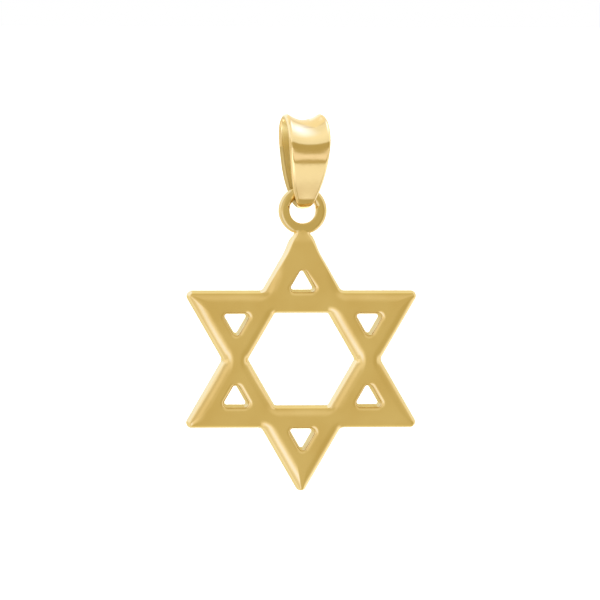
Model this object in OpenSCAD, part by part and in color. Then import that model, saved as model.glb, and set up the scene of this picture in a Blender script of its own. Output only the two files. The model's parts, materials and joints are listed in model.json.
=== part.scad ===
// Star of David pendant: an openwork six-pointed star with a soldered ring, hung on a folded sheet bail.
// The front faces -Y and +Z is up. The origin is the chain seat, the inside of the bail's crown.

/* [Star] */
// Distance from the star's centre to its points, measured to where the straight sides would meet
star_r = 10; // [8:0.5:14]
// Width of the bars
bar_w = 1.64; // [1.5:0.02:1.9]
// Thickness of the star from front to back
star_t = 1.4; // [1.1:0.05:1.8]
// Radius that the points are rounded to
tip_round = 0.4; // [0.2:0.05:0.6]
// Radius of the fillets where two points meet
notch_round = 0.4; // [0.2:0.05:0.8]
// Width of the shoulder that the front slopes down to along the star's outline and the middle hole
rim_w = 0.95; // [0.5:0.05:1]
// Depth of that shoulder
rim_h = 0.31; // [0.16:0.01:0.4]
// Width of the shoulder round the six small holes
hole_rim_w = 0.34; // [0.2:0.02:0.5]
// Depth of the shoulder round the six small holes
hole_rim_h = 0.11; // [0.06:0.01:0.2]
// Radius of the edge between a shoulder and the wall below it
edge_round = 0.16; // [0.04:0.02:0.2]
// Lean of every side wall, which makes the star narrower toward the front
draft = 0.14; // [0.04:0.02:0.2]
// Small bevel round every edge on the back
back_bevel = 0.1; // [0.06:0.02:0.2]
// Radius in the corners of the middle hole
hole_round = 0.22; // [0.1:0.02:0.4]
// Radius in the corners of the six small holes
point_hole_round = 0.16; // [0.1:0.02:0.3]
// Extra metal round each small hole, beyond the width of the bars
hole_margin = 0.07; // [0:0.01:0.1]

/* [Ring] */
// Outer diameter of the soldered ring
ring_d = 3.5; // [3.2:0.1:4.2]
// Thickness of the ring's round wire
ring_wire = 0.8; // [0.6:0.05:0.9]
// Length of the top point that runs into the ring's wire
solder_len = 0.5; // [0.3:0.05:0.7]

/* [Bail] */
// Height of the loop from the ring's wire to the middle of the sheet at the crown
loop_h = 4.95; // [4.5:0.05:6.5]
// How far the front leaf stands forward of the ring
front_depth = 1.95; // [1.5:0.05:2.4]
// How far the back leaf stands behind the ring
back_depth = 0.85; // [0.8:0.05:1.6]
// Height of the crown's curve above the leaves
crown_rise = 1.7; // [1.2:0.1:2.2]
// Lean of the front leaf where it leaves the bend round the ring
front_flare = 20; // [10:1:26]
// Lean of the back leaf where it leaves the bend round the ring
back_flare = 4; // [0:1:12]
// Greatest width of the leaves
bail_w = 3.12; // [2.8:0.04:4]
// Height of the flared lips over the middle of the crown
lip_h = 0.42; // [0.2:0.02:0.6]
// Thickness of the sheet
sheet_t = 0.5; // [0.4:0.02:0.56]
// Turn of the bail on the ring, seen from above
bail_turn = 10; // [0:1:12]

/* [Fits] */
// Clearance between the ring's wire and the bend of the bail
link_gap = 0.34; // [0.24:0.02:0.4]
// Clearance between the edges of the strap and the inside of the ring
strap_gap = 0.1; // [0.08:0.02:0.16]

/* [Hidden] */

// Number of steps in rounded corners, shoulders, edges and the bail
corner_steps = 4;
rim_steps = 5;
edge_steps = 2;
leaf_stations = 24;
face_points = 4;
cap_steps = 4;

// Power by which a shoulder bends down from the face, 1 for a straight slope
rim_bend = 2.4;

// Smallest radius that a rounded corner shrinks to, and how much rounder it gets for each step inward
least_round = 0.04;
crease_share = 0.45;

// Fineness of the ring and of its wire
$fn = 64;
wire_sides = 32;

// The star's own places, before the move to the chain seat
side_dist = star_r / 2;
notch_r = star_r / sqrt(3);
hole_apothem = side_dist - bar_w;
ring_mid_r = (ring_d - ring_wire) / 2;
ring_z = star_r - tip_round + ring_d / 2 - solder_len;

// Where the bail turns round the ring's wire, and the seat for the chain above it
hinge_z = ring_z + ring_mid_r;
seat_z = hinge_z + loop_h - sheet_t / 2;
bend_r = ring_wire / 2 + link_gap + sheet_t / 2;
crown_z = loop_h - crown_rise;

// Half width that the strap may have where it passes through the ring
ring_hole_r = ring_mid_r - ring_wire / 2;
strap_level = ring_mid_r - bend_r + sheet_t / 2;
strap_half = sqrt(ring_hole_r * ring_hole_r - strap_level * strap_level) - strap_gap + sheet_t / 4;

// Shares of the half loop, from under the ring's wire to the crown, at which leaf and crown begin
leaf_from_share = 0.15;
crown_from_share = 0.65;

// Small share of the loop between the two places that give its direction
near_share = 0.002;

// The leaves at equal steps from under the ring's wire to the crown
// columns: share of the way from the strap's width to the greatest width, share of the lips' height
WIDTH_SHARE = 0;
LIP_SHARE = 1;
leaf_rows = [
    [-0.38, -0.06],
    [0.02, -0.04],
    [0.36, 0.00],
    [0.62, 0.00],
    [0.80, 0.00],
    [0.93, 0.02],
    [1.00, 0.30],
    [0.99, 0.80],
    [0.90, 1.00]
];

// Points and directions
function at_angle(r, a) = [r * cos(a), r * sin(a)];
function unit(v) = v / norm(v);
function left_of(v) = [-v[1], v[0]];
function cross2(a, b) = a[0] * b[1] - a[1] * b[0];

// Corner i of a loop of straight sides, moved inward by inset
function inset_corner(loop, i, inset) =
    let (
        n = len(loop),
        p = loop[i],
        u = unit(p - loop[(i + n - 1) % n]),
        v = unit(loop[(i + 1) % n] - p),
        share = inset / (1 + u * v)
    )
    p + (left_of(u) + left_of(v)) * share;

// Arc that rounds the corner p between the directions u and v
function corner_arc(p, u, v, r) =
    let (
        turn = cross2(u, v) > 0 ? 1 : -1,
        half = acos(u * v) / 2,
        centre = p - u * r * tan(half) + left_of(u) * turn * r,
        start = atan2(-left_of(u)[1] * turn, -left_of(u)[0] * turn)
    )
    [for (k = [0 : corner_steps]) centre + at_angle(r, start + turn * 2 * half * k / corner_steps)];

// Loop moved inward by inset with rounded corners: the points get sharper and the notches get rounder
function rounded_loop(loop, inset, point_r, inner_r) =
    [for (i = [0 : len(loop) - 1])
        let (
            n = len(loop),
            u = unit(loop[i] - loop[(i + n - 1) % n]),
            v = unit(loop[(i + 1) % n] - loop[i]),
            r = cross2(u, v) > 0 ? point_r - inset : inner_r + inset
        )
        each corner_arc(inset_corner(loop, i, inset), u, v, max(r, least_round, crease_share * abs(inset)))];

// The six-pointed star's corners, points and notches by turns
function star_loop() =
    [for (i = [0 : 5]) each [at_angle(star_r, 90 + 60 * i), at_angle(notch_r, 120 + 60 * i)]];

// The six-sided hole's corners
function hexagon_loop() = [for (i = [0 : 5]) at_angle(hole_apothem / cos(30), 60 * i)];

// The corners of the small hole inside the top point
function point_hole_loop() =
    let (
        apex = star_r - 2 * (bar_w + hole_margin),
        base = side_dist + hole_margin,
        half_base = (apex - base) * tan(30)
    )
    [[0, apex], [-half_base, base], [half_base, base]];

// Depth and inset of a metal edge's sections, down the shoulder, round the edge and down the wall to the back
function edge_sections(w, h) =
    let (slope = atan(rim_bend * h / w), foot = draft + edge_round * (1 - sin(slope)))
    concat(
        [for (k = [0 : rim_steps])
            let (t = k / rim_steps)
            [h * pow(t, rim_bend), foot + w * (1 - t)]],
        [for (k = [1 : edge_steps])
            let (a = slope + (90 - slope) * k / edge_steps)
            [h + edge_round * (cos(slope) - cos(a)), draft + edge_round * (1 - sin(a))]],
        [[star_t - back_bevel, 0], [star_t, back_bevel]]
    );

// The same edge as a hole's sections: it widens outward, and both ends run straight on past the faces
function hole_sections(w, h) =
    let (
        edge = edge_sections(w, h),
        last = len(edge) - 1,
        wider = [for (s = edge) [s[0], -s[1]]]
    )
    concat(
        [2 * wider[0] - wider[1]],
        [for (k = [1 : last - 1]) wider[k]],
        [2 * wider[last] - wider[last - 1]]
    );

// Closed solid through rings of equally many points, with the middle of the two end rings
module loft(rings, first_middle, last_middle) {
    n = len(rings[0]);
    last = (len(rings) - 1) * n;
    middle = len(rings) * n;
    points = concat([for (ring = rings) each ring], [first_middle, last_middle]);
    sides = [for (j = [0 : len(rings) - 2], i = [0 : n - 1])
        let (a = j * n + i, b = j * n + (i + 1) % n)
        each [[a, b, a + n], [b, b + n, a + n]]];
    first_end = [for (i = [0 : n - 1]) [middle, (i + 1) % n, i]];
    last_end = [for (i = [0 : n - 1]) [middle + 1, last + i, last + (i + 1) % n]];
    polyhedron(points = points, faces = concat(sides, first_end, last_end), convexity = 8);
}

// Plate with the outline of a loop, upright, its front at half the thickness before the middle plane
module plate(loop, sections, point_r, inner_r) {
    front = -star_t / 2;
    rings = [for (s = sections)
        [for (p = rounded_loop(loop, s[1], point_r, inner_r)) [p[0], front + s[0], p[1]]]];
    middle = [for (axis = [0 : 1]) [for (p = loop) p[axis]] * [for (p = loop) 1] / len(loop)];
    loft(
        rings,
        [middle[0], front + sections[0][0], middle[1]],
        [middle[0], front + sections[len(sections) - 1][0], middle[1]]
    );
}

module ring_wire_loop() {
    translate([0, 0, ring_z])
        rotate([90, 0, 0])
            rotate_extrude()
                translate([ring_mid_r, 0])
                    circle(d = ring_wire, $fn = wire_sides);
}

module point_hole() {
    plate(point_hole_loop(), hole_sections(hole_rim_w, hole_rim_h), point_hole_round, point_hole_round);
}

module star() {
    color("goldenrod")
        translate([0, 0, -seat_z])
            union() {
                difference() {
                    plate(star_loop(), edge_sections(rim_w, rim_h), tip_round, notch_round);
                    plate(hexagon_loop(), hole_sections(rim_w, rim_h), hole_round, hole_round);
                    for (i = [0 : 5])
                        rotate([0, 60 * i, 0])
                            point_hole();
                }
                ring_wire_loop();
            }
}

// Cubic curve through a and d, with handles b and c
function curve(a, b, c, d, t) =
    a * pow(1 - t, 3) + b * 3 * t * pow(1 - t, 2) + c * 3 * t * t * (1 - t) + d * pow(t, 3);

// Place in the half loop at share s: [depth away from the ring's plane, height over the ring's wire]
function loop_place(s, depth, flare) =
    s < leaf_from_share ?
        let (a = (90 - flare) * s / leaf_from_share)
        [bend_r * sin(a), -bend_r * cos(a)]
    : s < crown_from_share ?
        let (
            start = bend_r * [cos(flare), -sin(flare)],
            finish = [depth, crown_z],
            reach = (crown_z - start[1]) / 3
        )
        curve(start, start + reach * [sin(flare), cos(flare)], finish - [0, reach], finish,
            (s - leaf_from_share) / (crown_from_share - leaf_from_share))
    :
        let (a = 90 * (s - crown_from_share) / (1 - crown_from_share))
        [depth * cos(a), crown_z + crown_rise * sin(a)];

// Value in a column of the rows at share s, on a smooth curve through the rows
function row_value(s, column) =
    let (
        last = len(leaf_rows) - 1,
        i = min(floor(s * last), last - 1),
        t = s * last - i,
        p0 = leaf_rows[max(i - 1, 0)][column],
        p1 = leaf_rows[i][column],
        p2 = leaf_rows[i + 1][column],
        p3 = i + 2 > last ? p1 : leaf_rows[i + 2][column]
    )
    p1 + t / 2 * (p2 - p0 + t * (2 * p0 - 5 * p1 + 4 * p2 - p3 + t * (3 * (p1 - p2) + p3 - p0)));

// Station of the whole loop, q from -1 under the ring, up the front to 0 at the crown and down the back to 1
function station_place(q) =
    q < 0 ?
        let (p = loop_place(1 + q, front_depth, front_flare)) [-p[0], p[1]]
    :
        loop_place(1 - q, back_depth, back_flare);

// Outline of the sheet across the loop: [place along the width, place out from the middle of the sheet]
function sheet_outline(half, lip) =
    let (
        run = half - sheet_t / 2,
        r = sheet_t / 2,
        slope = atan(2 * lip / run)
    )
    concat(
        [for (k = [-face_points : face_points])
            let (u = k / face_points, a = atan(2 * lip * u / run))
            [run * u - r * sin(a), lip * u * u + r * cos(a)]],
        [for (k = [1 : cap_steps - 1])
            let (a = slope + 90 - 180 * k / cap_steps)
            [run + r * cos(a), lip + r * sin(a)]],
        [for (k = [face_points : -1 : -face_points])
            let (u = k / face_points, a = atan(2 * lip * u / run))
            [run * u + r * sin(a), lip * u * u - r * cos(a)]],
        [for (k = [1 : cap_steps - 1])
            let (a = 270 - slope - 180 * k / cap_steps)
            [-run + r * cos(a), lip + r * sin(a)]]
    );

// Section of the bail at station q
function bail_ring(q) =
    let (
        place = station_place(q),
        along = unit(station_place(min(q + near_share, 1)) - station_place(max(q - near_share, -1))),
        out = [-along[1], along[0]],
        s = 1 - abs(q),
        half = strap_half + (bail_w / 2 - strap_half) * row_value(s, WIDTH_SHARE),
        lip = lip_h * row_value(s, LIP_SHARE)
    )
    [for (p = sheet_outline(half, lip)) [p[0], place[0] + out[0] * p[1], place[1] + out[1] * p[1]]];

// Closed band through its sections, the last joined to the first
module closed_band(rings) {
    count = len(rings);
    n = len(rings[0]);
    faces = [for (j = [0 : count - 1], i = [0 : n - 1])
        let (
            a = j * n + i,
            b = j * n + (i + 1) % n,
            c = ((j + 1) % count) * n + i,
            d = ((j + 1) % count) * n + (i + 1) % n
        )
        each [[a, c, b], [b, c, d]]];
    polyhedron(points = [for (ring = rings) each ring], faces = faces, convexity = 6);
}

module bail() {
    color("gold")
        translate([0, 0, hinge_z - seat_z])
            rotate([0, 0, bail_turn])
                closed_band([for (i = [-leaf_stations : leaf_stations - 1]) bail_ring(i / leaf_stations)]);
}

bail();
star();
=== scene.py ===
import json
import math

import bmesh
import bpy
import numpy as np
from mathutils import Matrix, Vector, noise
from mathutils.geometry import delaunay_2d_cdt


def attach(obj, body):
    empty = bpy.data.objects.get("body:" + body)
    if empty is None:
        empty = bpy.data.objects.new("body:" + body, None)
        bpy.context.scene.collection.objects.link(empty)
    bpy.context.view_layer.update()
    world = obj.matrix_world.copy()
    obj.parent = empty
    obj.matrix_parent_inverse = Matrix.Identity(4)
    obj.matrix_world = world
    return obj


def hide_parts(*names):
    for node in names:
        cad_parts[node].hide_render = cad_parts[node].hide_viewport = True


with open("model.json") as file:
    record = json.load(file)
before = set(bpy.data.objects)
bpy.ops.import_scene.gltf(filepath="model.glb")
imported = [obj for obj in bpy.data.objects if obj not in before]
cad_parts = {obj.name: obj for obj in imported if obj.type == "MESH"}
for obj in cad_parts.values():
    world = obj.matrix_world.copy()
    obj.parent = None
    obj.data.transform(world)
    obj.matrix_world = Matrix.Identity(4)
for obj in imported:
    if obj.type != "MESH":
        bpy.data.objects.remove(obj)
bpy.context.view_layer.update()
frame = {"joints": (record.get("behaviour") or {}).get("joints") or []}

# Lengths are in millimetres in the row frame, and MM turns them into metres when something is placed.
# The front faces -Y, +Z is up, and the origin is the chain seat inside the bail's crown.
MM = 0.001

# The star
STAR_R = 10.0
BAR_W = 1.64
STAR_T = 1.4
TIP_ROUND = 0.4
NOTCH_ROUND = 0.4
HOLE_ROUND = 0.22
POINT_HOLE_ROUND = 0.16
HOLE_MARGIN = 0.07
DRAFT = 0.14
BACK_BEVEL = 0.1
LEAST_ROUND = 0.04

# The polished shoulder round every front edge, and the small fillet where it meets the wall
SHOULDER_W = 0.95
SHOULDER_H = 0.31
HOLE_SHOULDER_W = 0.34
HOLE_SHOULDER_H = 0.11
SHOULDER_BEND = 2.4
EDGE_R = 0.16

# How much rounder the sharp and the blunt corners of the shoulder get for each step inward
CREASE_ROUND = 0.45
BLUNT_ROUND = 2.25

# Where the top point thins towards the ring: how far below its tip that starts and ends,
# and the share of its thickness that is left
NECK_FROM = 1.35
NECK_TO = 0.0
NECK_SHARE = 0.60

# Where the solder starts to widen the top point, and how many times as wide it is at the tip
SOLDER_FROM = 2.0
SOLDER_SPREAD = 1.35

# Where the shoulders of the top point fade, and the share of their height that is left
FADE_FROM = 5.2
FADE_TO = 2.2
FADE_SHARE = 0.12

# How unevenly the shoulders are polished down: share of their height, and length of the change along the star
DRIFT_SHARE = 0.28
DRIFT_LENGTH = 5.5
DRIFT_SEED = 1.0

# Depth and length of the shallow waves that hand polishing leaves on the faces
WAVE_DEPTH = 0.013
WAVE_LENGTH = 5.0

# The finer waves among them: their share of the depth, and how many times as close together they are
FINE_WAVE_SHARE = 0.5
FINE_WAVE_RATE = 2.1

# Front and back have different waves
FRONT_SEED = 0
BACK_SEED = 7

# The ring
RING_D = 3.5
RING_WIRE = 0.8
SOLDER_LEN = 0.5

# Roundness of the wire's section, 2 for a circle and more for a squarer one:
# towards the hole, on the outside of the ring, and all round where the wire runs through the bail
INNER_ROUND = 7.0
OUTER_ROUND = 2.2
CIRCLE_ROUND = 2.0

# Heights over the ring's middle, as shares of its radius:
# the wire is flattened up to the first and round from the second
FLAT_UP_TO = 0.0
CIRCLE_FROM = 0.3

# The fillet of solder: how far it reaches from the seam, how often and how strongly it is smoothed,
# and the size of the slivers that are closed first
SEAM_REACH = 0.30
SEAM_PASSES = 14
SEAM_FACTOR = 0.5
SEAM_WELD = 0.03

# How the seam is found: edges that turn by more than this, this near to the wire's middle at the ring's foot,
# and no lower than this many radii of the wire below it. The fillet stays within a distance of its own.
SEAM_CREASE = math.radians(18)
SEAM_WITHIN = 1.2
SEAM_BELOW = 1.1
FILLET_WITHIN = 1.4

# The bail
LOOP_H = 4.95
FRONT_DEPTH = 1.95
BACK_DEPTH = 0.85
CROWN_RISE = 1.7
FRONT_FLARE = math.radians(20)
BACK_FLARE = math.radians(4)
BAIL_W = 3.12
LIP_H = 0.42
SHEET_T = 0.5
LINK_GAP = 0.34
STRAP_GAP = 0.1
LEAF_FROM = 0.15
CROWN_FROM = 0.65

# The leaves at equal steps from under the ring's wire to the crown, in two columns:
# share of the way from the strap's width to the greatest width, and share of the lips' height
WIDTH_SHARE, LIP_SHARE = range(2)
LEAF_ROWS = (
    (-0.38, -0.06),
    (0.02, -0.04),
    (0.36, 0.00),
    (0.62, 0.00),
    (0.80, 0.00),
    (0.93, 0.02),
    (1.00, 0.30),
    (0.99, 0.80),
    (0.90, 1.00),
)

# Numbers of the materials in each mesh, in the order of STAR_FINISHES and BAIL_FINISHES
POLISHED, RING, HOLE_WALL = range(3)
OUTSIDE, INSIDE, BACK_EDGE = range(3)

# Fineness of the meshes
ARC_STEPS = 14
SIDE_STEP = 0.16
SHOULDER_STEPS = 12
EDGE_STEPS = 8
WALL_STEPS = 4
BEVEL_STEPS = 4
FACE_STEP = 0.16
BACK_STEP = 0.2
RING_STEPS = 192
WIRE_STEPS = 56
STATIONS = 260
SHEET_STEPS = 28
CAP_STEPS = 12

# How far the inner points of a face stay from its edges, as a share of the step between them
EDGE_CLEARANCE = 0.6

# How far apart two places of the bail's loop are that give its direction, as a share of half the loop
NUDGE = 0.001

# Edges that turn by more than this stay sharp
STAR_SHARP = math.radians(50)
BAIL_SHARP = math.radians(60)

# Where the parts stand, from the frame's joint: the hinge is the middle of the wire at the ring's top
joint = frame["joints"][0]
hinge = Vector(joint["pos_m"]) / MM
bail_turn = math.atan2(joint["axis"][1], joint["axis"][0])
ring_mid_r = (RING_D - RING_WIRE) / 2
ring_z = hinge.z - ring_mid_r
star_z = ring_z - (STAR_R - TIP_ROUND + RING_D / 2 - SOLDER_LEN)

# The bail's bend, the foot of its crown, and the strap's half width, which the ring's hole limits
bend_r = RING_WIRE / 2 + LINK_GAP + SHEET_T / 2
crown_z = LOOP_H - CROWN_RISE
ring_hole_r = ring_mid_r - RING_WIRE / 2
strap_level = ring_mid_r - bend_r + SHEET_T / 2
strap_half = math.sqrt(ring_hole_r ** 2 - strap_level ** 2) - STRAP_GAP + SHEET_T / 4

# The camera: its direction from the star's middle, roll and distance, the photograph's width in pixels,
# the star's size and place in it, and the sensor's width
CAMERA_AZIMUTH = math.radians(-5)
CAMERA_ELEVATION = math.radians(3.5)
CAMERA_ROLL = math.radians(0.236)
CAMERA_DISTANCE = 330.0
PICTURE = 600
PIXELS_PER_MM = 13.778
STAR_PIXEL = (301.9, 359.64)
SENSOR = 36.0

# The nearest and the farthest that the camera sees, in metres
CAMERA_CLIP = (0.01, 100.0)

# The floor: its height, half its side in metres, and its looks
FLOOR_Z = -46.0
FLOOR_HALF = 40.0
FLOOR_COLOUR = (0.88, 0.88, 0.88)
FLOOR_ROUGHNESS = 0.9

# The soft light that keeps the floor bright
FLOOR_LIGHT_STRENGTH = 3.4
FLOOR_LIGHT_SPREAD = math.radians(25)
FLOOR_LIGHT_TILT = (math.radians(-12), math.radians(6), 0)

# The gold: pale and deep tint, roughness where it is smooth and where it is dull, and strength of the ripples
STAR_FINISHES = (
    ("star_gold", (0.965, 0.785, 0.415), (0.905, 0.705, 0.335), 0.11, 0.17, 0.25),
    # The ring: the star's gold made darker, which is painted shade
    ("ring_shaded_gold", (0.86, 0.70, 0.36), (0.80, 0.63, 0.29), 0.12, 0.18, 0.25),
    # The walls of the small holes: a rougher finish, and a darker colour that is painted shade in these
    # recesses
    ("hole_wall_rough_and_shaded", (0.82, 0.655, 0.265), (0.77, 0.595, 0.215), 0.30, 0.40, 0.25),
)
BAIL_FINISHES = (
    # The bail: the star's gold made darker all over, which is painted shade so the bail reads dimmer under
    # the same lights
    ("bail_gold", (0.79, 0.61, 0.285), (0.76, 0.58, 0.255), 0.10, 0.16, 0.2),
    # The inside of the loop: a rougher finish, and a darker colour that is painted shade
    ("bail_inside_rough_and_shaded", (0.77, 0.635, 0.27), (0.74, 0.60, 0.24), 0.40, 0.50, 0.2),
    # The back leaf's left edge: a much darker colour, painted shade in place of its highlight
    ("bail_edge_shaded", (0.54, 0.41, 0.15), (0.52, 0.39, 0.14), 0.35, 0.45, 0.2),
)

# The gold's patterns: how many features each has in a millimetre, and how many layers of detail
TINT_PATTERN = (0.35, 2)
POLISH_PATTERN = (0.9, 4)
RIPPLE_PATTERN = (1.6, 2)
SCRATCH_PATTERN = (1.5, 6)

# Scratches run up and down: how much closer together they lie along each axis
SCRATCH_STRETCH = (9, 2, 1)
SCRATCH_STRENGTH = 0.10
SCRATCH_DEPTH = 0.004
RIPPLE_DEPTH = 0.02

# Most values of a noise lie between these
NOISE_LOW = 0.3
NOISE_HIGH = 0.7


# Outlines

def left_of(v):
    return Vector((-v.y, v.x))


def at_angle(r, degrees):
    a = math.radians(degrees)
    return Vector((r * math.cos(a), r * math.sin(a)))


def direction(azimuth, elevation):
    """The way from the pendant at this azimuth and elevation; azimuth 0 is straight in front of it."""
    return Vector((
        math.sin(azimuth) * math.cos(elevation),
        -math.cos(azimuth) * math.cos(elevation),
        math.sin(elevation),
    ))


def corner_arc(p, u, v, r):
    """Points of the arc that rounds the corner p between the directions u and v."""
    turn = 1 if u.cross(v) > 0 else -1
    half = math.acos(max(-1, min(1, u.dot(v)))) / 2
    centre = p - u * (r * math.tan(half)) + left_of(u) * (turn * r)
    away = -left_of(u) * turn
    start = math.atan2(away.y, away.x)
    angles = [start + turn * 2 * half * k / ARC_STEPS for k in range(ARC_STEPS + 1)]
    return [centre + Vector((r * math.cos(a), r * math.sin(a))) for a in angles]


def rounded_loop(corners, inset, point_r, inner_r):
    """A loop of straight sides moved inward by inset, with its corners rounded and its sides divided."""
    n = len(corners)
    arcs = []
    for i, p in enumerate(corners):
        u = (p - corners[i - 1]).normalized()
        v = (corners[(i + 1) % n] - p).normalized()
        moved = p + (left_of(u) + left_of(v)) * (inset / (1 + u.dot(v)))
        r = point_r - inset if u.cross(v) > 0 else inner_r + inset
        share = BLUNT_ROUND if u.dot(v) > 0 else CREASE_ROUND
        arcs.append(corner_arc(moved, u, v, max(r, LEAST_ROUND, share * abs(inset))))
    side = (corners[1] - corners[0]).length
    steps = max(2, round(side / SIDE_STEP))
    points = []
    for i, arc in enumerate(arcs):
        points += arc
        far = arcs[(i + 1) % n][0]
        points += [arc[-1].lerp(far, k / steps) for k in range(1, steps)]
    return points


def star_corners():
    notch_r = STAR_R / math.sqrt(3)
    return [p for i in range(6) for p in (at_angle(STAR_R, 90 + 60 * i), at_angle(notch_r, 120 + 60 * i))]


def hexagon_corners():
    apothem = STAR_R / 2 - BAR_W
    return [at_angle(apothem / math.cos(math.radians(30)), 60 * i) for i in range(6)]


def point_hole_corners(turn):
    """The small hole in the point that lies turn degrees round from the top one."""
    apex = STAR_R - 2 * (BAR_W + HOLE_MARGIN)
    base = STAR_R / 2 + HOLE_MARGIN
    half = (apex - base) * math.tan(math.radians(30))
    spin = Matrix.Rotation(math.radians(turn), 2)
    return [spin @ Vector(p) for p in ((0, apex), (-half, base), (half, base))]


# The star

def edge_profile(shoulder_w, shoulder_h):
    """Inset and depth of an edge, from the face down the shoulder, the fillet and the wall to the back."""
    slope = math.atan(SHOULDER_BEND * shoulder_h / shoulder_w)
    foot = DRAFT + EDGE_R * (1 - math.sin(slope))
    shoulder = [
        (foot + shoulder_w * (1 - t), shoulder_h * t ** SHOULDER_BEND)
        for t in (k / SHOULDER_STEPS for k in range(SHOULDER_STEPS + 1))
    ]
    middle = (foot + EDGE_R * math.sin(slope), shoulder_h + EDGE_R * math.cos(slope))
    angles = [slope + (math.pi / 2 - slope) * k / EDGE_STEPS for k in range(1, EDGE_STEPS + 1)]
    fillet = [(middle[0] - EDGE_R * math.sin(a), middle[1] - EDGE_R * math.cos(a)) for a in angles]
    wall_end = STAR_T - BACK_BEVEL
    front_end = fillet[-1]
    wall = [
        (front_end[0] * (1 - t), front_end[1] + (wall_end - front_end[1]) * t)
        for t in (k / WALL_STEPS for k in range(1, WALL_STEPS + 1))
    ]
    back = [
        (BACK_BEVEL * (1 - math.cos(a)), wall_end + BACK_BEVEL * math.sin(a))
        for a in (math.pi / 2 * k / BEVEL_STEPS for k in range(1, BEVEL_STEPS + 1))
    ]
    return shoulder + fillet + wall + back


def wave(x, z, seed):
    """Height of the shallow polishing waves at a place on a face."""
    place = Vector((x / WAVE_LENGTH, z / WAVE_LENGTH, seed))
    return WAVE_DEPTH * (noise.noise(place) + FINE_WAVE_SHARE * noise.noise(place * FINE_WAVE_RATE))


def inside_loop(points, loop):
    """For each of the points, whether it lies inside the loop."""
    x, y = points[:, 0:1], points[:, 1:2]
    a = np.array(loop)
    b = np.roll(a, -1, axis=0)
    spans = (a[:, 1] > y) != (b[:, 1] > y)
    rise = np.where(b[:, 1] == a[:, 1], 1.0, b[:, 1] - a[:, 1])
    cross = (b[:, 0] - a[:, 0]) * (y - a[:, 1]) / rise + a[:, 0]
    return (spans & (x < cross)).sum(axis=1) % 2 == 1


def face_grid(outer, holes, step):
    """Points of a triangular grid that lie on the face, clear of its edges."""
    rows = int(STAR_R / (step * math.sqrt(3) / 2)) + 1
    columns = int(STAR_R / step) + 1
    grid = np.array([
        ((c + (r % 2) / 2) * step, r * step * math.sqrt(3) / 2)
        for r in range(-rows, rows + 1) for c in range(-columns, columns + 1)
    ])
    keep = inside_loop(grid, outer)
    for hole in holes:
        keep &= ~inside_loop(grid, hole)
    grid = grid[keep]
    edge = np.array([p for loop in [outer] + holes for p in loop])
    nearest = np.min(np.linalg.norm(grid[:, None, :] - edge[None, :, :], axis=2), axis=1)
    return grid[nearest > EDGE_CLEARANCE * step]


def fill_face(bm, rings, step, y, seed):
    """Closes the flat region between rings of vertices with fine triangles, the first ring outermost."""
    loops = [[(v.co.x, v.co.z - star_z) for v in ring] for ring in rings]
    grid = face_grid(loops[0], loops[1:], step)
    verts = [v for ring in rings for v in ring]
    flat = [Vector(p) for loop in loops for p in loop] + [Vector(p) for p in grid]
    edges = []
    start = 0
    for ring in rings:
        n = len(ring)
        edges += [(start + i, start + (i + 1) % n) for i in range(n)]
        start += n
    made = delaunay_2d_cdt(flat, edges, [], 1, 1e-6)
    places, triangles, origins = made[0], made[2], made[3]
    known = []
    for place, origin in zip(places, origins):
        if origin and origin[0] < len(verts):
            known.append(verts[origin[0]])
        else:
            x, z = place
            known.append(bm.verts.new((x, y + wave(x, z, seed), z + star_z)))
    middles = np.array([sum((places[i] for i in t), Vector((0, 0))) / 3 for t in triangles])
    keep = inside_loop(middles, loops[0])
    for hole in loops[1:]:
        keep &= ~inside_loop(middles, hole)
    for triangle, kept in zip(triangles, keep):
        if kept:
            bm.faces.new([known[i] for i in triangle])


def smooth_share(t):
    """0 up to 0, 1 from 1, and a smooth rise between them."""
    t = max(0.0, min(1.0, t))
    return t * t * (3 - 2 * t)


def towards_ring(z, start, finish, share):
    """1 until start below the top point's tip, then smoothly down to the share at finish below the tip."""
    tip = ring_z - RING_D / 2 + SOLDER_LEN
    return 1 - (1 - share) * smooth_share((z - tip + start) / (start - finish))


def shoulder_share(x, z):
    """Share of its full height that the shoulder has at a place on the star."""
    place = Vector((x / DRIFT_LENGTH, (z - star_z) / DRIFT_LENGTH, DRIFT_SEED))
    return towards_ring(z, FADE_FROM, FADE_TO, FADE_SHARE) * (1 + DRIFT_SHARE * noise.noise(place))


def edge_rings(bm, corners, point_r, inner_r, shoulder, way):
    """Rings of vertices round an outline, from the face down the edge to the back; way is -1 round a hole."""
    shoulder_w, shoulder_h = shoulder
    rings = []
    for inset, depth in edge_profile(shoulder_w, shoulder_h):
        weight = max(0.0, 1 - depth / SHOULDER_H) ** 2
        ring = []
        for p in rounded_loop(corners, way * inset, point_r, inner_r):
            z = p.y + star_z
            y = -STAR_T / 2 + depth + weight * wave(p.x, p.y, FRONT_SEED)
            if depth < shoulder_h + EDGE_R:
                y -= min(depth, shoulder_h) * (1 - shoulder_share(p.x, z))
            ring.append(bm.verts.new((p.x, y, z)))
        rings.append(ring)
    return rings


def join_rings(bm, rings, wall_material):
    """Faces between rings of vertices, with a material of its own on the wall below the rounded edge: in the
    small holes a rougher finish with painted shade in its colour.
    """
    for level, (ring, following) in enumerate(zip(rings, rings[1:])):
        n = len(ring)
        for i in range(n):
            face = bm.faces.new((ring[i], ring[(i + 1) % n], following[(i + 1) % n], following[i]))
            face.material_index = wall_material if level >= SHOULDER_STEPS + EDGE_STEPS else POLISHED


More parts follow.
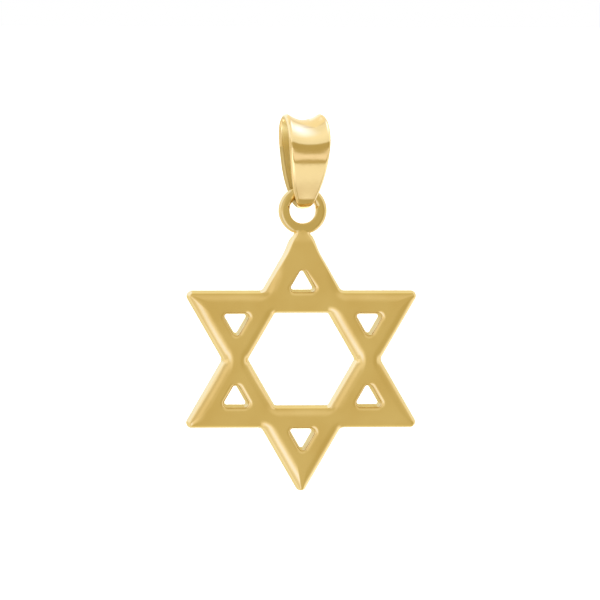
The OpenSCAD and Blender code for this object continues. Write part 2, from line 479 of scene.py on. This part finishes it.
def star_plate(bm):
    """The openwork plate, with its shoulders, walls and faces."""
    big = (SHOULDER_W, SHOULDER_H)
    small = (HOLE_SHOULDER_W, HOLE_SHOULDER_H)
    outlines = [
        (star_corners(), TIP_ROUND, NOTCH_ROUND, big, 1, POLISHED),
        (hexagon_corners(), HOLE_ROUND, HOLE_ROUND, big, -1, POLISHED),
    ]
    for i in range(6):
        corners = point_hole_corners(60 * i)
        # The small holes' walls: a rougher finish, and a darker colour that is painted shade in these
        # recesses
        outlines.append((corners, POINT_HOLE_ROUND, POINT_HOLE_ROUND, small, -1, HOLE_WALL))
    fronts, backs = [], []
    for corners, point_r, inner_r, shoulder, way, wall_material in outlines:
        rings = edge_rings(bm, corners, point_r, inner_r, shoulder, way)
        join_rings(bm, rings, wall_material)
        fronts.append(rings[0])
        backs.append(rings[-1])
    fill_face(bm, fronts, FACE_STEP, -STAR_T / 2, FRONT_SEED)
    fill_face(bm, backs, BACK_STEP, STAR_T / 2, BACK_SEED)
    for vert in bm.verts:
        vert.co.y *= towards_ring(vert.co.z, NECK_FROM, NECK_TO, NECK_SHARE)
        vert.co.x *= towards_ring(vert.co.z, SOLDER_FROM, NECK_TO, SOLDER_SPREAD)


def rounded(value, roundness):
    """A sine or cosine bent so that the section it draws is rounder or squarer than a circle."""
    return math.copysign(abs(value) ** (2 / roundness), value)


def wire_ring(bm):
    """The wire ring, upright in the star's plane."""
    rows = []
    for i in range(RING_STEPS):
        a = 2 * math.pi * i / RING_STEPS
        circle = smooth_share((math.sin(a) - FLAT_UP_TO) / (CIRCLE_FROM - FLAT_UP_TO))
        row = []
        for k in range(WIRE_STEPS):
            b = 2 * math.pi * k / WIRE_STEPS
            flattened = OUTER_ROUND if math.cos(b) > 0 else INNER_ROUND
            roundness = flattened + (CIRCLE_ROUND - flattened) * circle
            r = ring_mid_r + RING_WIRE / 2 * rounded(math.cos(b), roundness)
            y = RING_WIRE / 2 * rounded(math.sin(b), roundness)
            row.append(bm.verts.new((r * math.cos(a), y, ring_z + r * math.sin(a))))
        rows.append(row)
    for row, following in zip(rows, rows[1:] + rows[:1]):
        for k in range(WIRE_STEPS):
            m = (k + 1) % WIRE_STEPS
            face = bm.faces.new((row[k], row[m], following[m], following[k]))
            # The ring gets the star's gold made darker: painted shade
            face.material_index = RING


def mesh_object(name, build):
    """An object with the mesh that build makes in millimetres."""
    bm = bmesh.new()
    build(bm)
    bmesh.ops.recalc_face_normals(bm, faces=bm.faces)
    mesh = bpy.data.meshes.new(name)
    bm.to_mesh(mesh)
    bm.free()
    mesh.transform(Matrix.Scale(MM, 4))
    piece = bpy.data.objects.new(name, mesh)
    bpy.context.scene.collection.objects.link(piece)
    return piece


def only_selected(piece):
    for other in bpy.context.selected_objects:
        other.select_set(False)
    piece.select_set(True)
    bpy.context.view_layer.objects.active = piece


def apply_modifier(piece, modifier):
    only_selected(piece)
    bpy.ops.object.modifier_apply(modifier=modifier.name)


def soften_seam(piece):
    """Relaxes the mesh where plate and ring meet, which leaves the soft fillet of solder."""
    bm = bmesh.new()
    bm.from_mesh(piece.data)
    foot = Vector((0, 0, ring_z - ring_mid_r)) * MM
    lowest = foot.z - SEAM_BELOW * RING_WIRE / 2 * MM
    seam = []
    for edge in bm.edges:
        first, second = edge.verts
        if len(edge.link_faces) == 2 and (first.co - foot).length < SEAM_WITHIN * MM:
            if edge.calc_face_angle(0) > SEAM_CREASE and first.co.z > lowest:
                seam.append((first.co + second.co) / 2)
    near = []
    for vert in bm.verts:
        if (vert.co - foot).length < FILLET_WITHIN * MM:
            gap = min((vert.co - place).length for place in seam)
            if gap < SEAM_REACH * MM:
                near.append(vert)
    bmesh.ops.remove_doubles(bm, verts=near, dist=SEAM_WELD * MM)
    near = [vert for vert in near if vert.is_valid]
    for _ in range(SEAM_PASSES):
        bmesh.ops.smooth_vert(
            bm, verts=near, factor=SEAM_FACTOR, use_axis_x=True, use_axis_y=True, use_axis_z=True
        )
    bm.to_mesh(piece.data)
    bm.free()


def shade_smooth(piece, sharp):
    only_selected(piece)
    bpy.ops.object.shade_smooth_by_angle(angle=sharp)


def make_star():
    star = mesh_object("star_and_ring", star_plate)
    ring = mesh_object("ring_wire", wire_ring)
    union = star.modifiers.new("solder", "BOOLEAN")
    union.operation = "UNION"
    union.solver = "EXACT"
    union.object = ring
    apply_modifier(star, union)
    bpy.data.objects.remove(ring)
    soften_seam(star)
    shade_smooth(star, STAR_SHARP)
    return star


# The bail

def curve_point(a, b, c, d, t):
    """The place at t on the smooth curve from a to d that heads for b and comes in from c."""
    return a * (1 - t) ** 3 + b * 3 * t * (1 - t) ** 2 + c * 3 * t * t * (1 - t) + d * t ** 3


def loop_place(s, depth, flare):
    """Depth away from the ring's plane and height over the ring's wire at share s of the half loop."""
    if s < LEAF_FROM:
        a = (math.pi / 2 - flare) * s / LEAF_FROM
        return Vector((bend_r * math.sin(a), -bend_r * math.cos(a)))
    if s < CROWN_FROM:
        start = bend_r * Vector((math.cos(flare), -math.sin(flare)))
        finish = Vector((depth, crown_z))
        reach = (crown_z - start.y) / 3
        rise = start + reach * Vector((math.sin(flare), math.cos(flare)))
        t = (s - LEAF_FROM) / (CROWN_FROM - LEAF_FROM)
        return curve_point(start, rise, finish - Vector((0, reach)), finish, t)
    a = math.pi / 2 * (s - CROWN_FROM) / (1 - CROWN_FROM)
    return Vector((depth * math.cos(a), crown_z + CROWN_RISE * math.sin(a)))


def row_value(s, column):
    """Value in a column of LEAF_ROWS at share s, on a smooth curve through the rows."""
    last = len(LEAF_ROWS) - 1
    i = min(int(s * last), last - 1)
    t = s * last - i
    p0 = LEAF_ROWS[max(i - 1, 0)][column]
    p1 = LEAF_ROWS[i][column]
    p2 = LEAF_ROWS[i + 1][column]
    p3 = p1 if i + 2 > last else LEAF_ROWS[i + 2][column]
    return p1 + t / 2 * (p2 - p0 + t * (2 * p0 - 5 * p1 + 4 * p2 - p3 + t * (3 * (p1 - p2) + p3 - p0)))


def station_place(q):
    """The loop at q from -1 under the ring, up the front to 0 at the crown and down the back to 1."""
    if q < 0:
        p = loop_place(1 + q, FRONT_DEPTH, FRONT_FLARE)
        return Vector((-p.x, p.y))
    return loop_place(1 - q, BACK_DEPTH, BACK_FLARE)


def sheet_outline(half, lip):
    """Outline of the sheet across the loop: place along the width, and place out from the sheet's middle."""
    r = SHEET_T / 2
    run = half - r
    slope = math.atan(2 * lip / run)

    def side(way):
        points = []
        for k in range(-SHEET_STEPS, SHEET_STEPS + 1):
            u = way * k / SHEET_STEPS
            a = math.atan(2 * lip * u / run)
            points.append((run * u - way * r * math.sin(a), lip * u * u + way * r * math.cos(a)))
        return points

    turns = [math.pi * k / CAP_STEPS for k in range(1, CAP_STEPS)]
    first = [slope + math.pi / 2 - a for a in turns]
    last = [3 * math.pi / 2 - slope - a for a in turns]
    right_cap = [(run + r * math.cos(a), lip + r * math.sin(a)) for a in first]
    left_cap = [(-run + r * math.cos(a), lip + r * math.sin(a)) for a in last]
    return side(1) + right_cap + side(-1) + left_cap


def bail_band(bm):
    """The closed band of sheet through its sections."""
    rows = []
    spin = Matrix.Rotation(bail_turn, 3, "Z")
    for i in range(2 * STATIONS):
        q = i / STATIONS - 1
        place = station_place(q)
        along = (station_place(min(q + NUDGE, 1)) - station_place(max(q - NUDGE, -1))).normalized()
        out = Vector((-along.y, along.x))
        s = 1 - abs(q)
        half = strap_half + (BAIL_W / 2 - strap_half) * row_value(s, WIDTH_SHARE)
        lip = LIP_H * row_value(s, LIP_SHARE)
        row = []
        for x, rise in sheet_outline(half, lip):
            p = spin @ Vector((x, place.x + out.x * rise, place.y + out.y * rise))
            row.append(bm.verts.new(p + hinge))
        rows.append(row)
    n = len(rows[0])
    inside_from = 2 * SHEET_STEPS + CAP_STEPS
    inside_to = inside_from + 2 * SHEET_STEPS
    back_leaf = STATIONS + round((1 - CROWN_FROM) * STATIONS)
    for i, (row, following) in enumerate(zip(rows, rows[1:] + rows[:1])):
        for k in range(n):
            m = (k + 1) % n
            face = bm.faces.new((row[k], following[k], following[m], row[m]))
            # The inside of the loop: a rougher finish, and a darker colour that is painted shade
            if inside_from <= k < inside_to:
                face.material_index = INSIDE
            # The back leaf's left edge: a much darker colour, painted shade in place of its highlight
            elif k >= inside_to and i >= back_leaf:
                face.material_index = BACK_EDGE
            # Everywhere else the bail has its darker gold, which is painted shade
            else:
                face.material_index = OUTSIDE


def make_bail():
    bail = mesh_object("bail_sheet", bail_band)
    shade_smooth(bail, BAIL_SHARP)
    return bail


# Materials

def link(tree, source, target):
    tree.links.new(source, target)


def node(tree, kind, **values):
    made = tree.nodes.new(kind)
    for name, value in values.items():
        setattr(made, name, value)
    return made


def noise_texture(tree, coordinates, pattern, stretch=(1, 1, 1)):
    per_mm, detail = pattern
    mapping = node(tree, "ShaderNodeMapping")
    mapping.inputs["Scale"].default_value = stretch
    link(tree, coordinates, mapping.inputs["Vector"])
    texture = node(tree, "ShaderNodeTexNoise")
    texture.inputs["Scale"].default_value = per_mm / MM
    texture.inputs["Detail"].default_value = detail
    link(tree, mapping.outputs["Vector"], texture.inputs["Vector"])
    return texture.outputs["Fac"]


def spread(tree, value, low, high):
    """The middle of a noise spread over low to high."""
    ranged = node(tree, "ShaderNodeMapRange")
    ranged.inputs["From Min"].default_value = NOISE_LOW
    ranged.inputs["From Max"].default_value = NOISE_HIGH
    ranged.inputs["To Min"].default_value = low
    ranged.inputs["To Max"].default_value = high
    link(tree, value, ranged.inputs["Value"])
    return ranged.outputs["Result"]


def polished_gold(name, pale, deep, smooth, dull, ripple):
    """Polished gold: a colour that drifts between two tints, uneven polish, ripples and fine scratches."""
    material = bpy.data.materials.new(name)
    material.use_nodes = True
    tree = material.node_tree
    shader = tree.nodes["Principled BSDF"]
    shader.inputs["Metallic"].default_value = 1.0
    place = node(tree, "ShaderNodeTexCoord").outputs["Object"]

    drift = spread(tree, noise_texture(tree, place, TINT_PATTERN), 0, 1)
    tint = node(tree, "ShaderNodeMix", data_type="RGBA")
    tint.inputs["A"].default_value = (*deep, 1)
    tint.inputs["B"].default_value = (*pale, 1)
    link(tree, drift, tint.inputs["Factor"])
    link(tree, tint.outputs["Result"], shader.inputs["Base Color"])

    polish = spread(tree, noise_texture(tree, place, POLISH_PATTERN), smooth, dull)
    link(tree, polish, shader.inputs["Roughness"])

    ripples = node(tree, "ShaderNodeBump")
    ripples.inputs["Strength"].default_value = ripple
    ripples.inputs["Distance"].default_value = RIPPLE_DEPTH * MM
    link(tree, noise_texture(tree, place, RIPPLE_PATTERN), ripples.inputs["Height"])
    scratches = node(tree, "ShaderNodeBump")
    scratches.inputs["Strength"].default_value = SCRATCH_STRENGTH
    scratches.inputs["Distance"].default_value = SCRATCH_DEPTH * MM
    link(tree, noise_texture(tree, place, SCRATCH_PATTERN, SCRATCH_STRETCH), scratches.inputs["Height"])
    link(tree, ripples.outputs["Normal"], scratches.inputs["Normal"])
    link(tree, scratches.outputs["Normal"], shader.inputs["Normal"])
    return material


# Stage, light and camera

def pale_floor():
    bm = bmesh.new()
    bmesh.ops.create_grid(bm, x_segments=1, y_segments=1, size=FLOOR_HALF)
    mesh = bpy.data.meshes.new("floor")
    bm.to_mesh(mesh)
    bm.free()
    floor = bpy.data.objects.new("floor", mesh)
    floor.location.z = FLOOR_Z * MM
    bpy.context.scene.collection.objects.link(floor)
    material = bpy.data.materials.new("pale_floor")
    material.use_nodes = True
    shader = material.node_tree.nodes["Principled BSDF"]
    shader.inputs["Base Color"].default_value = (*FLOOR_COLOUR, 1)
    shader.inputs["Roughness"].default_value = FLOOR_ROUGHNESS
    floor.data.materials.append(material)
    floor.visible_glossy = False
    floor.visible_shadow = False


# The studio round the pendant, by direction. The columns of a card are azimuth from and to, elevation from
# and to, softness of its edges, and colour. Angles are in degrees, and azimuth 0 is where the front faces
# and grows to the right. Later cards lie over earlier ones.
BACKDROP = (0.90, 0.80, 0.46)
CARDS = (
    (-100, 150, -85, 100, 12, (0.645, 0.55, 0.31)),
    (-30, 60, 30, 60, 16, (0.77, 0.68, 0.46)),
    (32, 76, -45, 14, 14, (0.575, 0.48, 0.24)),
    (70, 140, -60, 60, 9, (0.98, 0.92, 0.82)),
    (-60, -15, -75, 4, 11, (0.97, 0.88, 0.70)),
    (-60, -27, -4, 28, 9, (0.86, 0.76, 0.56)),
    (-50, -28, -60, -6, 9, (1.06, 1.09, 1.36)),
    (-150, -60, -12, 12, 6, (1.02, 0.95, 0.85)),
    (-84, -60, -75, -14, 5, (0.84, 0.78, 0.66)),
    (-64, -50, 10, 60, 5, (0.74, 0.655, 0.49)),
    (-150, -66, 8, 60, 5, (1.05, 1.05, 1.12)),
    (-150, -88, -60, -8, 6, (1.02, 0.95, 0.85)),
    (-190, -146, 2, 40, 6, (1.02, 1.04, 1.01)),
)


def band(tree, value, low, high, soft):
    """1 where value lies from low to high, with soft ends, and 0 elsewhere."""
    ends = []
    for edge, inside in ((low, 1), (high, 0)):
        ramp = node(tree, "ShaderNodeMapRange", interpolation_type="SMOOTHSTEP")
        ramp.inputs["From Min"].default_value = math.radians(edge - soft)
        ramp.inputs["From Max"].default_value = math.radians(edge + soft)
        ramp.inputs["To Min"].default_value = 1 - inside
        ramp.inputs["To Max"].default_value = inside
        link(tree, value, ramp.inputs["Value"])
        ends.append(ramp.outputs["Result"])
    both = node(tree, "ShaderNodeMath", operation="MULTIPLY")
    link(tree, ends[0], both.inputs[0])
    link(tree, ends[1], both.inputs[1])
    return both.outputs[0]


def studio():
    """The world: soft cards over a warm backdrop, and plain white where the camera looks past the floor."""
    world = bpy.data.worlds.new("studio")
    bpy.context.scene.world = world
    world.use_nodes = True
    tree = world.node_tree
    tree.nodes.clear()
    way = node(tree, "ShaderNodeSeparateXYZ")
    link(tree, node(tree, "ShaderNodeTexCoord").outputs["Generated"], way.inputs[0])
    forward = node(tree, "ShaderNodeMath", operation="MULTIPLY")
    forward.inputs[1].default_value = -1
    link(tree, way.outputs["Y"], forward.inputs[0])
    azimuth = node(tree, "ShaderNodeMath", operation="ARCTAN2")
    link(tree, way.outputs["X"], azimuth.inputs[0])
    link(tree, forward.outputs[0], azimuth.inputs[1])
    elevation = node(tree, "ShaderNodeMath", operation="ARCSINE")
    link(tree, way.outputs["Z"], elevation.inputs[0])

    colour = node(tree, "ShaderNodeRGB").outputs[0]
    colour.default_value = (*BACKDROP, 1)
    for left, right, low, high, soft, light in CARDS:
        across = band(tree, azimuth.outputs[0], left, right, soft)
        up = band(tree, elevation.outputs[0], low, high, soft)
        share = node(tree, "ShaderNodeMath", operation="MULTIPLY")
        link(tree, across, share.inputs[0])
        link(tree, up, share.inputs[1])
        mix = node(tree, "ShaderNodeMix", data_type="RGBA")
        link(tree, share.outputs[0], mix.inputs["Factor"])
        link(tree, colour, mix.inputs["A"])
        mix.inputs["B"].default_value = (*light, 1)
        colour = mix.outputs["Result"]

    cards = node(tree, "ShaderNodeBackground")
    link(tree, colour, cards.inputs["Color"])
    plain = node(tree, "ShaderNodeBackground")
    plain.inputs["Color"].default_value = (1, 1, 1, 1)
    path = node(tree, "ShaderNodeLightPath")
    shown = node(tree, "ShaderNodeMixShader")
    link(tree, path.outputs["Is Camera Ray"], shown.inputs[0])
    link(tree, cards.outputs[0], shown.inputs[1])
    link(tree, plain.outputs[0], shown.inputs[2])
    output = node(tree, "ShaderNodeOutputWorld")
    link(tree, shown.outputs[0], output.inputs["Surface"])


# Soft cards that light one piece alone, each (name, azimuth, elevation, width, height, fade, colour):
# directions and sizes in degrees, and the share of the half width over which a card fades out
STAR_CARDS = (
    ("star_low_right", 105, -42, 50, 40, 0.7, (0.45, 0.45, 0.65)),
)
BAIL_CARDS = (
    ("bail_top", 22, 51.5, 150, 84, 0.2, (0.52, 0.63, 0.95)),
    ("bail_back", 202, 51.5, 150, 84, 0.2, (0.33, 0.38, 0.62)),
    ("bail_glint", 85, 60, 80, 56, 1, (0.35, 0.7, 2.2)),
    ("bail_band", 22, -18.5, 120, 12, 0.6, (0.62, 0.64, 0.95)),
    ("bail_front", 22, -36, 120, 17, 0.35, (0.62, 0.72, 1.05)),
    ("bail_low", 22, -47, 120, 9, 0.35, (0.36, 0.39, 0.62)),
    ("bail_strip", -14, -41, 60, 22, 0.6, (0.45, 0.50, 0.75)),
    ("bail_left", -60, -30, 90, 36, 0.5, (0.48, 0.50, 0.65)),
    ("bail_right", 112, -28, 50, 36, 0.5, (0.45, 0.6, 1.1)),
    ("bail_under", 180, -50, 100, 60, 0.5, (1.0, 0.95, 1.1)),
)
CARD_DISTANCE = 500.0


def soft_card(name, azimuth, elevation, width, height, fade, colour, pieces):
    """A flat light that faces the pendant, fades out at its edges and lights only these pieces."""
    away = direction(math.radians(azimuth), math.radians(elevation))
    data = bpy.data.lights.new(name, "AREA")
    data.shape = "RECTANGLE"
    data.size = 2 * CARD_DISTANCE * math.tan(math.radians(width / 2)) * MM
    data.size_y = 2 * CARD_DISTANCE * math.tan(math.radians(height / 2)) * MM
    data.energy = math.pi * data.size * data.size_y
    data.color = colour
    data.use_nodes = True
    tree = data.node_tree
    across = node(tree, "ShaderNodeSeparateXYZ")
    link(tree, node(tree, "ShaderNodeNewGeometry").outputs["Parametric"], across.inputs[0])
    both = node(tree, "ShaderNodeMath", operation="MULTIPLY")
    for i, axis in enumerate("XY"):
        inward = node(tree, "ShaderNodeMath", operation="PINGPONG")
        inward.inputs[1].default_value = 0.5
        link(tree, across.outputs[axis], inward.inputs[0])
        soft = node(tree, "ShaderNodeMapRange", interpolation_type="SMOOTHSTEP")
        soft.inputs["From Max"].default_value = fade / 2
        link(tree, inward.outputs[0], soft.inputs["Value"])
        link(tree, soft.outputs["Result"], both.inputs[i])
    link(tree, both.outputs[0], tree.nodes["Emission"].inputs["Strength"])
    card = bpy.data.objects.new(name, data)
    turned = away.to_track_quat("Z", "Y").to_matrix().to_4x4()
    card.matrix_world = Matrix.Translation(away * CARD_DISTANCE * MM) @ turned
    card.visible_camera = False
    bpy.context.scene.collection.objects.link(card)
    lit = bpy.data.collections.new(name + "_lights")
    for piece in pieces:
        lit.objects.link(piece)
    card.light_linking.receiver_collection = lit


def floor_light():
    """A soft high light that keeps the floor bright."""
    data = bpy.data.lights.new("floor_light", "SUN")
    data.energy = FLOOR_LIGHT_STRENGTH
    data.angle = FLOOR_LIGHT_SPREAD
    light = bpy.data.objects.new("floor_light", data)
    light.rotation_euler = FLOOR_LIGHT_TILT
    light.visible_glossy = False
    bpy.context.scene.collection.objects.link(light)


def photograph_camera():
    away = direction(CAMERA_AZIMUTH, CAMERA_ELEVATION)
    turned = away.to_track_quat("Z", "Y").to_matrix() @ Matrix.Rotation(CAMERA_ROLL, 3, "Z")
    right, up = turned.col[0], turned.col[1]
    star_middle = Vector((0, 0, star_z))
    aside = (PICTURE / 2 - STAR_PIXEL[0]) / PIXELS_PER_MM
    above = (STAR_PIXEL[1] - PICTURE / 2) / PIXELS_PER_MM
    aim = star_middle + right * aside + up * above
    data = bpy.data.cameras.new("camera")
    data.sensor_width = SENSOR
    data.lens = PIXELS_PER_MM * CAMERA_DISTANCE * SENSOR / PICTURE
    data.clip_start, data.clip_end = CAMERA_CLIP
    camera = bpy.data.objects.new("camera", data)
    camera.matrix_world = Matrix.Translation((aim + away * CAMERA_DISTANCE) * MM) @ turned.to_4x4()
    bpy.context.scene.collection.objects.link(camera)
    bpy.context.scene.camera = camera


# The scene

bpy.context.scene.view_settings.view_transform = "Standard"
photograph_camera()
studio()
floor_light()
pale_floor()

star = make_star()
for finish in STAR_FINISHES:
    star.data.materials.append(polished_gold(*finish))
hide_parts("star")
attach(star, "star")
for card in STAR_CARDS:
    soft_card(*card, [star])

bail = make_bail()
for finish in BAIL_FINISHES:
    bail.data.materials.append(polished_gold(*finish))
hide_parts("bail")
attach(bail, "bail")
for card in BAIL_CARDS:
    soft_card(*card, [bail])
